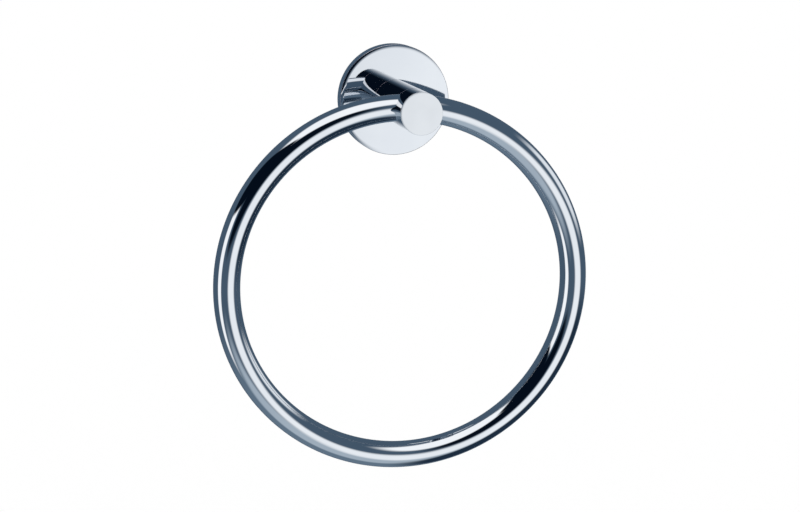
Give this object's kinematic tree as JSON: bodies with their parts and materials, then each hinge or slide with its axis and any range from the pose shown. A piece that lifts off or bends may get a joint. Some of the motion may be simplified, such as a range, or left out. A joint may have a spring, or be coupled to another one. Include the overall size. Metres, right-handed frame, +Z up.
{
  "type": "towel ring",
  "caption": "Wall-mounted towel ring: a round tube ring clamped across the end of a short round post that stands on a flat round rose.",
  "frame": {"origin": "on the wall, at the back of the rose, on the axis of the post and midway between the two screw slots", "axes": "+Z up, +X to the right as seen from the room, +Y into the wall; the post stands out along -Y and the ring hangs below it"},
  "size_m": [0.2, 0.0764, 0.222],
  "materials": {
    "polished_chrome": "mirror-polished chrome plating on brass",
    "plated_steel": "dull zinc plating on steel",
    "screw_steel": "satin stainless steel",
    "plain_brass": "turned brass, unplated"
  },
  "bodies": {
    "root": {"wall_plate": "plated_steel", "rose": "polished_chrome", "rose_grub_screw": "screw_steel", "post": "polished_chrome", "end_cap": "polished_chrome", "clamp_screw": "screw_steel", "washer": "screw_steel", "ring": "polished_chrome", "ring_dowel": "plain_brass"}
  },
  "joints": []
}
